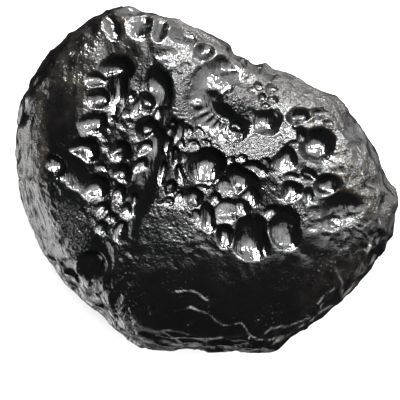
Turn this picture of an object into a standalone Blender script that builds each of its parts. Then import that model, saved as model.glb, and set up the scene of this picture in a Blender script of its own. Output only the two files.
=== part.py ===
"""An indochinite tektite: one lump of black natural glass, deeply pitted, lying on a small flat.

The lump lies on its back, so its pitted face looks up along +Z. Its long way runs along X, and the origin is
on the ground below the middle of its outline. Lengths in the tables are in millimetres.
"""

import math
import random

import bmesh
import bpy
import numpy as np
from mathutils import Vector, noise

MM = 0.001

# Driving dimensions of the lump
HEIGHT = 28.0
WAIST_HEIGHT = 12.5
WAIST_SWAY = 1.6
FACE_FULLNESS = 3.1
BACK_FULLNESS = 2.7
FLAT_CUT = 0.9
FLAT_KEEP_RADIUS = 8.5

# How finely the lump is made before and after the spare triangles are taken out
SPHERE_SUBDIVISIONS = 7
WAIST_ANGLE = math.radians(104)
KEPT_TRIANGLES = 9400
RIM_MERGE = 0.05

# Broad swells of the skin, and the smaller waves on them
SWELL_HEIGHT, SWELL_LENGTH = 0.55, 11.0
WAVE_HEIGHT, WAVE_LENGTH = 0.16, 2.6

# Outline of the lump seen from above, clockwise from the top left peak
OUTLINE = (
    (-12.3, 25.1), (-10.4, 24.5), (-7.5, 23.9), (-5.2, 23.2), (-2.5, 22.5), (0.0, 21.5), (1.9, 20.5),
    (3.5, 19.6), (3.7, 18.8), (5.1, 18.1), (6.2, 17.8), (7.0, 16.9), (8.3, 17.2), (9.6, 16.0),
    (11.7, 15.5), (13.9, 14.4), (16.5, 13.1), (18.7, 12.3), (20.2, 11.2), (20.9, 9.7), (22.2, 8.0),
    (23.3, 6.2), (24.5, 4.5), (25.4, 2.0), (26.5, -0.4), (27.4, -1.2), (27.8, -2.8), (27.8, -3.8),
    (27.3, -4.9), (27.1, -7.1), (27.0, -8.1), (26.3, -9.0), (26.0, -10.3), (24.5, -12.0), (22.8, -14.2),
    (20.9, -16.5), (18.1, -18.8), (16.0, -20.5), (14.1, -22.0), (11.9, -23.3), (10.2, -24.7), (9.1, -25.1),
    (6.2, -25.1), (1.9, -24.9), (-3.2, -24.9), (-7.1, -24.8), (-9.6, -24.4), (-11.6, -23.3), (-13.2, -22.3),
    (-14.6, -20.3), (-15.8, -19.1), (-16.8, -18.7), (-18.6, -17.0), (-20.6, -15.1), (-22.3, -12.7),
    (-23.8, -10.6), (-25.2, -7.7), (-26.5, -4.9), (-27.1, -2.2), (-27.6, 1.2), (-27.8, 4.4), (-27.6, 7.4),
    (-27.3, 10.2), (-26.8, 11.9), (-25.8, 13.2), (-25.7, 14.1), (-24.7, 16.5), (-22.9, 18.8), (-20.0, 21.2),
    (-17.1, 23.1), (-14.5, 24.4), (-13.4, 25.0),
)

# Pits on the face: middle x and y, half length, half width, turn in degrees from X, depth
UPPER_LEFT_PITS = (
    (-13.1, 16.0, 2.7, 1.9, 15, 1.9), (-15.2, 14.4, 1.9, 1.2, 0, 1.5), (-15.8, 11.6, 1.8, 1.3, 0, 1.6),
    (-17.1, 8.4, 1.7, 1.6, 0, 1.3), (-13.6, 8.6, 0.9, 0.7, 0, 0.9), (-7.1, 14.2, 2.4, 1.9, 0, 2.0),
    (-7.4, 11.3, 2.5, 1.8, 0, 2.1), (-7.1, 8.8, 2.1, 1.6, 0, 1.9), (-9.9, 9.9, 0.8, 1.0, 0, 0.8),
    (-10.9, 11.6, 0.7, 1.0, 0, 0.6), (-8.7, 7.1, 1.9, 1.6, 0, 1.8), (-3.9, 6.8, 2.0, 0.9, 80, 1.0),
)
LEFT_PITS = (
    (-12.2, 3.8, 1.9, 1.5, 0, 1.6), (-17.4, 4.4, 2.5, 1.8, 0, 1.8), (-19.9, 1.7, 3.6, 2.2, -45, 2.0),
    (-22.0, 1.6, 1.9, 1.3, -50, 1.9), (-15.4, 1.7, 1.0, 0.8, 0, 0.9), (-15.8, -1.5, 2.0, 2.0, 0, 1.7),
    (-12.3, 0.7, 1.6, 1.7, 0, 1.6), (-12.0, -2.0, 1.2, 1.4, 0, 1.2), (-11.6, -4.5, 1.1, 1.2, 0, 1.0),
    (-12.5, -7.0, 1.9, 0.9, 80, 1.0), (-14.2, -3.8, 1.2, 0.9, 0, 0.8), (-13.6, -5.5, 1.1, 1.0, 0, 0.9),
    (-15.8, -4.6, 0.9, 0.9, 0, 0.7), (-14.9, -7.0, 1.4, 1.2, 0, 0.8),
)
RING_PITS = (
    (2.3, 16.1, 2.8, 1.6, 0, 1.5), (0.4, 14.1, 1.4, 1.0, 0, 0.9), (-1.2, 11.9, 1.3, 1.3, 0, 1.0),
    (0.9, 11.6, 0.9, 1.8, 0, 1.0), (-0.4, 9.6, 1.2, 1.1, 0, 1.0), (1.7, 8.3, 1.3, 1.2, 0, 1.2),
    (3.9, 7.7, 2.1, 1.7, 0, 1.8), (8.3, 8.7, 2.1, 1.7, 0, 1.0), (8.0, 13.9, 0.7, 0.7, 0, 0.7),
    (9.6, 13.8, 0.8, 0.8, 0, 0.8), (8.3, 12.3, 0.7, 0.7, 0, 0.6), (9.9, 12.2, 0.8, 0.8, 0, 0.7),
)
RIGHT_PITS = (
    (14.6, 13.1, 1.1, 0.5, -55, 0.5), (13.3, 9.4, 2.1, 1.4, 25, 1.5), (16.7, 9.9, 1.5, 0.9, -15, 1.0),
    (16.7, 5.1, 2.9, 2.7, 0, 2.3), (11.3, 2.3, 2.9, 1.9, 40, 1.3), (12.0, 0.6, 1.7, 1.2, 0, 1.0),
    (12.3, -1.2, 1.8, 1.4, 0, 1.1), (14.4, -1.9, 1.0, 1.3, 0, 0.8), (14.8, 0.4, 1.3, 1.0, 0, 0.8),
    (17.4, -0.9, 2.2, 2.0, 0, 1.5), (20.0, -4.8, 3.4, 2.6, 20, 1.5), (19.6, -6.4, 2.3, 1.4, 0, 1.2),
    (6.7, 1.7, 1.6, 1.2, 0, 1.1),
)
MIDDLE_PITS = (
    (-1.2, 6.7, 0.8, 0.8, 0, 0.6), (0.0, 5.5, 0.8, 0.8, 0, 0.6), (-1.6, 5.1, 0.7, 0.7, 0, 0.6),
    (-2.6, 5.8, 0.8, 0.8, 0, 0.6), (-0.1, 2.0, 3.1, 2.6, 35, 2.5), (4.8, -0.9, 3.2, 2.3, -30, 2.2),
    (3.2, -1.0, 1.7, 1.6, 0, 2.2), (3.2, -4.1, 2.2, 1.7, 0, 1.6), (5.5, -3.5, 1.2, 1.3, 0, 1.1),
    (-2.3, -2.8, 1.6, 1.2, 75, 1.3), (-1.6, -1.2, 1.0, 0.7, 0, 0.8), (1.2, -2.6, 1.0, 0.9, 0, 0.9),
    (-0.1, -5.7, 2.2, 1.2, -70, 1.6), (-1.6, -5.1, 1.3, 0.7, -60, 0.8), (6.5, -7.3, 2.5, 2.2, 0, 2.4),
    (7.3, -10.0, 2.2, 1.9, 0, 1.9), (2.9, -8.1, 2.2, 1.3, -60, 1.6), (11.5, -7.0, 2.9, 2.2, 85, 1.8),
    (11.0, -8.8, 1.9, 1.3, 0, 1.5),
)
TOP_PITS = (
    (-3.5, 20.2, 1.7, 1.2, 0, 0.8), (-0.6, 18.0, 1.6, 1.0, 0, 0.7), (-13.3, 20.7, 0.9, 0.9, 0, 0.6),
    (-9.4, 20.9, 1.5, 1.1, 0, 0.6), (-7.1, 20.0, 1.2, 1.4, 0, 0.7), (-11.0, 22.6, 1.1, 0.7, 0, 0.6),
    (6.1, 17.0, 1.0, 0.8, 0, 0.5), (7.3, 16.2, 1.0, 0.8, 0, 0.5),
)
LOWER_PITS = (
    (-16.2, -12.2, 2.6, 2.1, 10, 1.9), (-18.9, -14.9, 1.6, 1.2, -45, 1.0), (-17.0, -16.8, 0.9, 1.3, 0, 0.8),
    (-15.7, -17.5, 1.7, 1.0, -55, 0.9), (1.9, -25.1, 2.8, 2.4, 0, 0.9), (7.7, -24.4, 1.7, 1.3, 0, 0.7),
    (10.6, -22.0, 2.0, 0.9, 25, 0.7), (-0.3, -21.0, 2.8, 2.8, 0, 0.6), (4.1, -22.5, 2.5, 2.5, 0, 0.5),
    (-1.7, -17.4, 2.5, 2.5, 0, 0.5), (19.1, -12.8, 1.0, 0.9, 0, 0.6),
)
FACE_PITS = (
    UPPER_LEFT_PITS + LEFT_PITS + RING_PITS + RIGHT_PITS + MIDDLE_PITS + TOP_PITS + LOWER_PITS
)
PIT_ROUNDNESS = 0.75

# Furrows on the face: half width, depth at the start, depth at the end, and the points of the middle line
FURROWS = (
    (0.9, 1.5, 0.5, ((-5.1, 9.9), (-5.7, 6.5), (-6.8, 2.9), (-8.3, -0.7), (-9.6, -4.1), (-11.3, -9.6))),
    (0.7, 1.6, 1.3, ((-11.5, 14.8), (-12.1, 12.5), (-12.8, 10.2))),
)

# Raised seams on the face: half width, height, and the points of the middle line
SEAMS = (
    (0.9, 0.45, ((8.0, 2.5), (10.4, 4.4), (12.9, 6.7))),
    (0.7, 0.35, ((-14.2, -15.2), (-13.9, -17.0), (-13.6, -19.2))),
    (0.7, 0.35, ((8.4, -22.5), (11.3, -21.0), (14.9, -20.0), (17.8, -18.1), (20.0, -16.0), (24.4, -10.9))),
    (0.6, 0.3, ((12.6, 7.8), (15.1, 9.1))),
)

# Pits scattered over the flank and the back
SCATTER_SEED = 41
SCATTER_COUNT = 260
SCATTER_RADII = (0.9, 3.2)
SCATTER_DEPTH_SHARE = 0.42
SCATTER_FACE_LIMIT = 0.965

# Near the waist the relief dies down to this share, so that the outline stays as it is drawn
WAIST_RELIEF_SHARE = 0.12
WAIST_RELIEF_REACH = 5.0

BLACK_GLASS = (0.012, 0.012, 0.013, 1.0)
GLASS_ROUGHNESS = 0.22


def clear_scene():
    """Remove every object that a new file starts with."""
    for item in list(bpy.data.objects):
        bpy.data.objects.remove(item, do_unlink=True)


def outline_radius(angles):
    """Distance from the middle to the outline at each angle, and the same with its corners worn away."""
    points = np.array(OUTLINE)
    point_angles = np.arctan2(points[:, 1], points[:, 0])
    order = np.argsort(point_angles)
    sharp = np.interp(angles, point_angles[order], np.hypot(*points[order].T), period=math.tau)
    steps = np.linspace(-0.35, 0.35, 15)
    worn = np.mean(
        [
            np.interp(angles + step, point_angles[order], np.hypot(*points[order].T), period=math.tau)
            for step in steps
        ],
        axis=0,
    )
    return sharp, worn


def half_profile(fullness, height, radius):
    """One quarter of the lump's section: shares of the radius, heights, and the length run along it."""
    turn = np.linspace(0.0, math.pi / 2, 400)
    out = np.sin(turn) ** (2 / fullness)
    up = np.cos(turn) ** (2 / fullness) * height
    run = np.concatenate(([0.0], np.cumsum(np.hypot(np.diff(out) * radius, np.diff(up)))))
    return out, up, run / run[-1]


def waist_height(angles):
    """Height of the widest line of the lump at each angle, which sways a little up and down."""
    return WAIST_HEIGHT + WAIST_SWAY * (0.6 * np.sin(angles + 0.7) + 0.4 * np.sin(3 * angles - 1.1))


def lump_form(directions):
    """Place points of a sphere on the smooth lump, without its pits.

    Returns the points, a mask of the face, each point's share of the way out, and its height over the waist.
    """
    angles = np.arctan2(directions[:, 1], directions[:, 0])
    tilt = np.arccos(np.clip(directions[:, 2], -1, 1))
    on_face = tilt <= WAIST_ANGLE
    sharp, worn = outline_radius(angles)
    out = np.empty(len(tilt))
    up = np.empty(len(tilt))
    top_out, top_up, top_run = half_profile(FACE_FULLNESS, HEIGHT - WAIST_HEIGHT, worn.mean())
    low_out, low_up, low_run = half_profile(BACK_FULLNESS, WAIST_HEIGHT + FLAT_CUT, worn.mean())
    face_run = np.sin(tilt / 2) / math.sin(WAIST_ANGLE / 2)
    back_run = np.cos(tilt / 2) / math.cos(WAIST_ANGLE / 2)
    out[on_face] = np.interp(face_run[on_face], top_run, top_out)
    up[on_face] = np.interp(face_run[on_face], top_run, top_up)
    out[~on_face] = np.interp(back_run[~on_face], low_run, low_out)
    up[~on_face] = -np.interp(back_run[~on_face], low_run, low_up)
    near_waist = np.clip((out - 0.8) / 0.2, 0, 1) ** 2
    radius = out * (worn + (sharp - worn) * near_waist)
    height = WAIST_HEIGHT + up + (waist_height(angles) - WAIST_HEIGHT) * near_waist
    points = np.column_stack((radius * np.cos(angles), radius * np.sin(angles), height))
    return points, on_face, out, up


def waves(points, height, length):
    """Height of a smooth noise at each point."""
    return height * np.array([noise.noise(Vector(point) / length) for point in points])


def to_line(points, line):
    """Distance from each point to a broken line, and how far along it the nearest place lies, from 0 to 1."""
    best = np.full(len(points), np.inf)
    share = np.zeros(len(points))
    ends = np.array(line, dtype=float)
    for index, (start, end) in enumerate(zip(ends[:-1], ends[1:])):
        way = end - start
        along = np.clip((points - start) @ way / (way @ way), 0, 1)
        distance = np.linalg.norm(points - start - along[:, None] * way, axis=1)
        nearer = distance < best
        best[nearer] = distance[nearer]
        share[nearer] = (index + along[nearer]) / (len(ends) - 1)
    return best, share


def bowl(squared_distance, depth):
    """Depth of a round-bottomed pit, from the squared distance to its middle in half widths."""
    return depth * np.clip(1 - squared_distance, 0, None) ** PIT_ROUNDNESS


def face_relief(plan):
    """How deep the face is cut at each point of the plan, and how far its seams stand up."""
    cut = np.zeros(len(plan))
    for x, y, half_length, half_width, turn, depth in FACE_PITS:
        cos, sin = math.cos(math.radians(turn)), math.sin(math.radians(turn))
        across = plan - (x, y)
        along = (across[:, 0] * cos + across[:, 1] * sin) / half_length
        aside = (across[:, 1] * cos - across[:, 0] * sin) / half_width
        cut = np.maximum(cut, bowl(along**2 + aside**2, depth))
    for half_width, start_depth, end_depth, line in FURROWS:
        distance, share = to_line(plan, line)
        depth = start_depth + (end_depth - start_depth) * share
        cut = np.maximum(cut, bowl((distance / half_width) ** 2, depth))
    rise = np.zeros(len(plan))
    for half_width, height, line in SEAMS:
        distance, _ = to_line(plan, line)
        rise = np.maximum(rise, height * np.clip(1 - (distance / half_width) ** 2, 0, None) ** 2)
    return cut, rise


def scattered_cut(points, open_skin):
    """How deep the flank and back are cut at each point, by pits strewn over the open skin."""
    draw = random.Random(SCATTER_SEED)
    sites = points[open_skin & (np.hypot(points[:, 0], points[:, 1]) > FLAT_KEEP_RADIUS)]
    cut = np.zeros(len(points))
    for _ in range(SCATTER_COUNT):
        radius = draw.uniform(*SCATTER_RADII)
        middle = sites[draw.randrange(len(sites))]
        if math.hypot(middle[0], middle[1]) < FLAT_KEEP_RADIUS + radius:
            continue
        squared = np.sum((points - middle) ** 2, axis=1) / radius**2
        cut = np.maximum(cut, bowl(squared, radius * SCATTER_DEPTH_SHARE))
    return cut


def lump_shell():
    """The whole skin of the lump, pitted and dense, reaching a little below the ground."""
    shell = bmesh.new()
    bmesh.ops.create_icosphere(shell, subdivisions=SPHERE_SUBDIVISIONS, radius=1.0)
    directions = np.array([vertex.co for vertex in shell.verts])
    points, on_face, out, up = lump_form(directions)
    for vertex, point in zip(shell.verts, points):
        vertex.co = point
    shell.normal_update()
    normals = np.array([vertex.normal for vertex in shell.verts])

    lift = waves(points, SWELL_HEIGHT, SWELL_LENGTH) + waves(points, WAVE_HEIGHT, WAVE_LENGTH)
    lift -= scattered_cut(points, ~on_face | (out > SCATTER_FACE_LIMIT))
    lift *= 1 - (1 - WAIST_RELIEF_SHARE) * np.exp(-((up / WAIST_RELIEF_REACH) ** 2))
    cut, rise = face_relief(points[:, :2])
    lift += np.where(on_face, rise - cut, 0.0) * np.clip((1 - out) / 0.04, 0, 1)
    points = points + normals * lift[:, None]
    for vertex, point in zip(shell.verts, points):
        vertex.co = point * MM
    return shell


def thinned(shell):
    """The same skin with its spare triangles taken out."""
    mesh = bpy.data.meshes.new("dense lump")
    shell.to_mesh(mesh)
    shell.free()
    dense = bpy.data.objects.new("dense lump", mesh)
    bpy.context.scene.collection.objects.link(dense)
    thinning = dense.modifiers.new("Thinning", "DECIMATE")
    thinning.ratio = KEPT_TRIANGLES / len(mesh.polygons)
    thin = bmesh.new()
    thin.from_object(dense, bpy.context.evaluated_depsgraph_get())
    bpy.data.objects.remove(dense, do_unlink=True)
    return thin


def cut_flat(shell):
    """Cut the skin off at the ground and close it with the flat that the lump lies on."""
    everything = shell.verts[:] + shell.edges[:] + shell.faces[:]
    cut = bmesh.ops.bisect_plane(
        shell,
        geom=everything,
        dist=RIM_MERGE * MM / 10,
        plane_co=(0, 0, 0),
        plane_no=(0, 0, -1),
        clear_outer=True,
    )
    rim = [part for part in cut["geom_cut"] if isinstance(part, bmesh.types.BMVert)]
    bmesh.ops.remove_doubles(shell, verts=rim, dist=RIM_MERGE * MM)
    open_edges = [edge for edge in shell.edges if edge.is_boundary]
    bmesh.ops.triangle_fill(shell, edges=open_edges, use_beauty=True, normal=(0, 0, -1))
    bmesh.ops.recalc_face_normals(shell, faces=shell.faces)


def build_tektite():
    """Make the lump as one closed body."""
    shell = thinned(lump_shell())
    cut_flat(shell)
    mesh = bpy.data.meshes.new("tektite")
    shell.to_mesh(mesh)
    shell.free()
    mesh.shade_smooth()
    tektite = bpy.data.objects.new("tektite", mesh)
    bpy.context.scene.collection.objects.link(tektite)
    return tektite


def black_glass():
    """Black glass with a soft natural polish."""
    material = bpy.data.materials.new("black glass")
    material.use_nodes = True
    surface = material.node_tree.nodes["Principled BSDF"]
    surface.inputs["Base Color"].default_value = BLACK_GLASS
    surface.inputs["Roughness"].default_value = GLASS_ROUGHNESS
    surface.inputs["Metallic"].default_value = 0.0
    return material


def main():
    """Build the tektite and give it its material."""
    clear_scene()
    tektite = build_tektite()
    tektite.data.materials.append(black_glass())


main()
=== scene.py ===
"""An indochinite tektite, dressed for its portrait: black pitted glass on a pale floor, seen from above.

The lump lies on its back, so its pitted face looks up along +Z. Its long way runs along X, and the origin is
on the floor below the middle of its outline. Places and sizes on the lump are written in millimetres.
"""

import logging
import math
import random
from dataclasses import dataclass, field
from typing import ClassVar

import bmesh
import bpy
import numpy as np
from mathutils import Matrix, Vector, noise


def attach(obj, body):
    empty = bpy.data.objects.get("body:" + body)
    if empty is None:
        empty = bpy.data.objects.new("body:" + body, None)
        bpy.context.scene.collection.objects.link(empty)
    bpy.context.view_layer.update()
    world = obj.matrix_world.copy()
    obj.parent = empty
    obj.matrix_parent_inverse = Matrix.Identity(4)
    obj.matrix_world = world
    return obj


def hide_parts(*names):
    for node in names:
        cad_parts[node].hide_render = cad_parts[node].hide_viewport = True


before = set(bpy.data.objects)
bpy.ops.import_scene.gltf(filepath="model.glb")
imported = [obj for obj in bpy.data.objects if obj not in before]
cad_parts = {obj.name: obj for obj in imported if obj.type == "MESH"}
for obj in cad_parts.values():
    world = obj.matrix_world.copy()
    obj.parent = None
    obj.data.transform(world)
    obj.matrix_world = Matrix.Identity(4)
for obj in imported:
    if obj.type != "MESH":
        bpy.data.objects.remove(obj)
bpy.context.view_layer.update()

MM = 0.001
LOG = logging.getLogger("tektite")

# Names of the values that each point of the skin carries for the glass, from 0 to 1
POLISH = "polish"
CRINKLED = "crinkled"
# A cloudy brown tint, lighter than the black glass, in patches of skin
BROWN_TINT = "brown_tint"
SATIN = "satin"
# Painted highlight: a pale line painted along the crests of the seams
CREST_HIGHLIGHT = "worn"

# What the photograph shows: its size in pixels, the length that a pixel spans, and the lump's middle in it
FRAME_PIXELS = 400
PIXEL_SPAN = 0.145
LUMP_MIDDLE_PIXEL = (207.0, 180.0)

# How steeply the narrow crests of the wrinkles fall away
CREST_STEEPNESS = 3.2


def ellipse_share(
    plan: np.ndarray, x: float, y: float, length: float, width: float, turn: float
) -> np.ndarray:
    """Find how far out in a turned ellipse each point of the plan lies.

    Args:
        plan: Points seen from above, one row each.
        x: Middle of the ellipse, left to right.
        y: Middle of the ellipse, bottom to top.
        length: Half length.
        width: Half width.
        turn: Turn from X, in degrees.

    Returns:
        The two shares, along the length and across it, as rows. Their squares add up to 1 on the rim.
    """
    cos, sin = math.cos(math.radians(turn)), math.sin(math.radians(turn))
    east, north = plan[:, 0] - x, plan[:, 1] - y
    return np.stack(((east * cos + north * sin) / length, (north * cos - east * sin) / width))


def noise_field(points: np.ndarray, length: float, seed: float = 0.0) -> np.ndarray:
    """Sample a smooth noise.

    Args:
        points: Places, in two or three numbers each.
        length: Length of one wave.
        seed: Offset that picks another stretch of the noise.

    Returns:
        Values from about -1 to 1.
    """
    padded = np.zeros((len(points), 3))
    padded[:, : points.shape[1]] = points / length
    padded[:, 2] += seed
    return np.array([noise.noise(Vector(place)) for place in padded])


def crest_field(plan: np.ndarray, length: float, stretch: float, turn: float, seed: float) -> np.ndarray:
    """Sample a noise of narrow crests that run one way.

    Args:
        plan: Points seen from above.
        length: Spacing of the crests.
        stretch: How many times longer than wide the crests are.
        turn: The way they run, in degrees from X.
        seed: Offset that picks another stretch of the noise.

    Returns:
        Values from about -1 in the hollows to 1 on the crests.
    """
    along, across = ellipse_share(plan, 0.0, 0.0, stretch, 1.0, turn)
    return 1.0 - CREST_STEEPNESS * np.abs(noise_field(np.column_stack((along, across)), length, seed))


def to_line(plan: np.ndarray, line: tuple[tuple[float, float], ...]) -> tuple[np.ndarray, np.ndarray]:
    """Measure from each point to a broken line.

    Args:
        plan: Points seen from above.
        line: The line's own points.

    Returns:
        The distance to the line, and how far along it the nearest place lies, from 0 to 1.
    """
    best = np.full(len(plan), np.inf)
    share = np.zeros(len(plan))
    ends = np.array(line, dtype=float)
    for index, (start, end) in enumerate(zip(ends[:-1], ends[1:])):
        way = end - start
        along = np.clip((plan - start) @ way / (way @ way), 0, 1)
        distance = np.linalg.norm(plan - start - along[:, None] * way, axis=1)
        nearer = distance < best
        best[nearer] = distance[nearer]
        share[nearer] = (index + along[nearer]) / (len(ends) - 1)
    return best, share


@dataclass(frozen=True)
class Oval:
    """A turned oval on the face, with its middle, its half length, its half width and its turn from X."""

    x: float
    y: float
    length: float
    width: float
    turn: float = 0.0

    def inside(self, plan: np.ndarray) -> np.ndarray:
        """Find how far inside the oval each point lies: 1 in the middle, 0 on the rim, below 0 outside."""
        along, across = ellipse_share(plan, self.x, self.y, self.length, self.width, self.turn)
        return 1.0 - along**2 - across**2


@dataclass(frozen=True)
class Pit(Oval):
    """A round-bottomed pit in the face.

    The lean deepens it towards the right and the top, as shares of its depth. A low roundness gives it steep
    walls and a flat floor.
    """

    depth: float = 1.0
    lean: tuple[float, float] = (0.2, 0.55)
    roundness: float = 0.8
    least_share: ClassVar[float] = 0.1

    def depth_at(self, plan: np.ndarray) -> np.ndarray:
        """Find the pit's depth at each point.

        Args:
            plan: Points seen from above.

        Returns:
            The depth, 0 outside the pit.
        """
        bowl = np.clip(self.inside(plan), 0.0, None) ** self.roundness
        east = (plan[:, 0] - self.x) / self.length
        north = (plan[:, 1] - self.y) / self.width
        tilt = 1.0 + self.lean[0] * east + self.lean[1] * north
        return self.depth * bowl * np.clip(tilt, self.least_share, None)


def facet(
    x: float, y: float, length: float, width: float, turn: float, depth: float, lean: float = 0.05
) -> Pit:
    """Make a pit whose flat floor slopes down towards the top, so that it mirrors the window."""
    return Pit(x, y, length, width, turn, depth, lean=(lean, 1.0), roundness=0.3)


@dataclass(frozen=True)
class Furrow:
    """A long furrow in the face, with a depth at either end."""

    width: float
    start_depth: float
    end_depth: float
    line: tuple[tuple[float, float], ...]
    roundness: ClassVar[float] = 0.8

    def depth_at(self, plan: np.ndarray) -> np.ndarray:
        """Find the furrow's depth at each point.

        Args:
            plan: Points seen from above.

        Returns:
            The depth, 0 outside the furrow.
        """
        distance, share = to_line(plan, self.line)
        depth = self.start_depth + (self.end_depth - self.start_depth) * share
        return depth * np.clip(1.0 - (distance / self.width) ** 2, 0.0, None) ** self.roundness


@dataclass(frozen=True)
class Seam:
    """A raised seam on the face. Its crest highlight, from 0 to 1, is how strongly a pale highlight is
    painted along its crest.
    """

    width: float
    height: float
    line: tuple[tuple[float, float], ...]
    crest_highlight: float = 1.0

    def share_at(self, plan: np.ndarray) -> np.ndarray:
        """Find each point's place on the seam, from 0 beside it to 1 on its crest."""
        distance, _ = to_line(plan, self.line)
        return np.clip(1.0 - (distance / self.width) ** 2, 0.0, None) ** 2


@dataclass(frozen=True)
class Crinkle(Oval):
    """A patch of the face that is drawn into fine wrinkles.

    The wrinkles run along the grain, in degrees from X, and are longer than wide by the stretch. The satin,
    from 0 to 1, is how far they dull the glass.
    """

    spacing: float = 0.5
    height: float = 0.08
    grain: float = 0.0
    stretch: float = 1.0
    satin: float = 0.3
    edge_sharpness: ClassVar[float] = 1.6

    def share_at(self, plan: np.ndarray) -> np.ndarray:
        """How strongly the patch wrinkles each point, from 0 to 1."""
        return np.clip(self.edge_sharpness * self.inside(plan), 0.0, 1.0)

    def height_at(self, plan: np.ndarray) -> np.ndarray:
        """Find the height of the wrinkles at each point, 0 outside the patch."""
        crests = crest_field(plan, self.spacing, self.stretch, self.grain, self.x + self.y)
        return self.height * crests * self.share_at(plan)


@dataclass(frozen=True)
class Swell(Oval):
    """A broad low rise of the face, or a hollow where its height is below 0."""

    height: float = 1.0

    def height_at(self, plan: np.ndarray) -> np.ndarray:
        """Find the swell's height at each point, fading to 0 outwards."""
        return self.height * np.exp(self.inside(plan) - 1.0)


# Outline of the lump seen from above, clockwise from the top left peak
OUTLINE = (
    (-12.3, 25.1), (-10.4, 24.5), (-7.5, 23.9), (-5.2, 23.2), (-2.5, 22.5), (0.0, 21.5), (1.9, 20.5),
    (3.5, 19.6), (3.7, 18.8), (5.1, 18.1), (6.2, 17.8), (7.0, 16.9), (8.3, 17.2), (9.6, 16.0),
    (11.7, 15.5), (13.9, 14.4), (16.5, 13.1), (18.7, 12.3), (20.2, 11.2), (20.9, 9.7), (22.2, 8.0),
    (23.3, 6.2), (24.5, 4.5), (25.4, 2.0), (26.5, -0.4), (27.4, -1.2), (27.8, -2.8), (27.8, -3.8),
    (27.3, -4.9), (27.1, -7.1), (27.0, -8.1), (26.3, -9.0), (26.0, -10.3), (24.5, -12.0), (22.8, -14.2),
    (20.9, -16.5), (18.1, -18.8), (16.0, -20.5), (14.1, -22.0), (11.9, -23.3), (10.2, -24.7), (9.1, -25.1),
    (6.2, -25.1), (1.9, -24.9), (-3.2, -24.9), (-7.1, -24.8), (-9.6, -24.4), (-11.6, -23.3), (-13.2, -22.3),
    (-14.6, -20.3), (-15.8, -19.1), (-16.8, -18.7), (-18.6, -17.0), (-20.6, -15.1), (-22.3, -12.7),
    (-23.8, -10.6), (-25.2, -7.7), (-26.5, -4.9), (-27.1, -2.2), (-27.6, 1.2), (-27.8, 4.4), (-27.6, 7.4),
    (-27.3, 10.2), (-26.8, 11.9), (-25.8, 13.2), (-25.7, 14.1), (-24.7, 16.5), (-22.9, 18.8), (-20.0, 21.2),
    (-17.1, 23.1), (-14.5, 24.4), (-13.4, 25.0),
)

# Pits and lit facets of the face, in groups from place to place
UPPER_LEFT_PITS = (
    Pit(-13.1, 16.0, 2.8, 2.0, 12, 2.1),
    Pit(-13.4, 13.2, 2.1, 4.6, -10, 2.3, (0.5, 0.3)),
    Pit(-15.6, 14.3, 1.9, 1.2, 5, 1.2),
    Pit(-15.5, 11.7, 1.9, 1.7, 0, 1.7),
    Pit(-16.3, 8.1, 2.3, 1.9, 20, 1.4),
    Pit(-13.8, 8.9, 0.9, 0.9, 0, 0.8),
    Pit(-6.9, 12.6, 2.1, 4.0, 2, 2.3, (0.5, 0.3)),
    Pit(-8.3, 11.2, 1.7, 1.7, 0, 1.7),
    Pit(-8.3, 7.0, 2.2, 1.8, -30, 1.8),
    Pit(-10.0, 10.6, 0.8, 1.6, -30, 0.7),
    Pit(-11.0, 12.0, 0.8, 0.9, 0, 0.6),
    Pit(-3.9, 6.9, 0.9, 2.1, 8, 0.8),
    facet(-8.7, 4.0, 1.4, 1.9, -12, 1.4, 0.14),
    facet(-9.4, 1.4, 1.3, 1.9, -12, 1.4, 0.14),
    facet(-9.9, -0.9, 0.6, 1.2, -12, 0.9, 0.1),
    facet(-5.4, 6.5, 0.7, 1.6, -10, 1.2),
    facet(-4.3, 3.0, 0.8, 1.9, 0, 1.5),
    facet(-5.7, 4.3, 0.7, 1.9, -8, 1.3),
    facet(-7.0, 9.0, 1.1, 1.9, -10, 1.3),
    facet(-5.2, 7.4, 0.8, 1.7, -8, 1.2),
    facet(-6.4, 1.0, 0.6, 1.9, -12, 1.3),
    facet(-10.6, -3.6, 0.6, 1.9, -12, 1.3),
    facet(-3.9, 0.5, 0.7, 1.5, 0, 1.2),
    facet(-5.2, -1.4, 0.9, 1.4, 0, 1.1),
    facet(-5.4, -3.4, 1.0, 1.0, 0, 0.8, 0.1),
    facet(-3.8, -3.0, 0.8, 1.2, 0, 0.9),
)
LEFT_PITS = (
    Pit(-19.8, 1.9, 4.3, 2.3, -52, 0.9, (0.0, 0.0), 1.0),
    Pit(-22.2, 1.7, 1.7, 1.8, 0, 1.6, (0.65, 0.75), 0.4),
    Pit(-17.7, 4.3, 2.6, 1.8, 0, 1.8),
    Pit(-12.4, 4.0, 1.8, 1.6, 0, 1.7),
    Pit(-15.4, 1.8, 1.0, 0.8, 0, 0.7),
    Pit(-12.3, 0.9, 1.8, 1.5, 0, 1.5),
    Pit(-16.0, -1.3, 2.3, 2.0, 0, 1.5, (0.0, 0.7)),
    Pit(-12.6, -2.1, 1.2, 1.5, 0, 1.2),
    Pit(-13.6, -0.4, 0.7, 0.7, 0, 0.6),
    Pit(-15.3, -4.4, 1.4, 1.1, 0, 0.9),
    Pit(-11.6, -4.6, 1.1, 1.4, 0, 0.9, (0.2, 1.0), 0.4),
    Pit(-13.9, -5.8, 1.2, 1.0, 20, 0.8),
    Pit(-15.1, -6.9, 1.2, 1.0, 0, 0.7),
    Pit(-12.6, -7.6, 1.1, 1.7, -10, 1.1, (0.1, 1.0), 0.4),
)
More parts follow.
